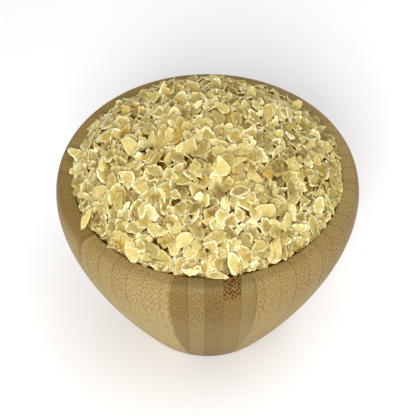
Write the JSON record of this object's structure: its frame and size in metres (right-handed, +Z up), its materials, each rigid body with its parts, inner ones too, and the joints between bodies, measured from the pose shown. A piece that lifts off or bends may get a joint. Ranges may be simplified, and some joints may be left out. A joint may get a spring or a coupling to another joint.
{
  "type": "bowl of rice flakes",
  "caption": "Deep round bamboo bowl on a flat foot, with a thick rim, filled above the rim with a dome of thin rice flakes.",
  "frame": {"origin": "middle of the bowl's flat underside, on the surface that the bowl stands on", "axes": "+Z up through the crown of the heap; -Y towards the viewer of the picture; +X to the viewer's right"},
  "size_m": [0.1302, 0.1302, 0.1158],
  "materials": {
    "bamboo": "satin, oiled, end grain dots above and fine grain below",
    "rice_flake": "dry, slightly translucent, satin"
  },
  "bodies": {
    "root": {"bowl": "bamboo", "rice_flakes": "rice_flake"}
  },
  "joints": []
}
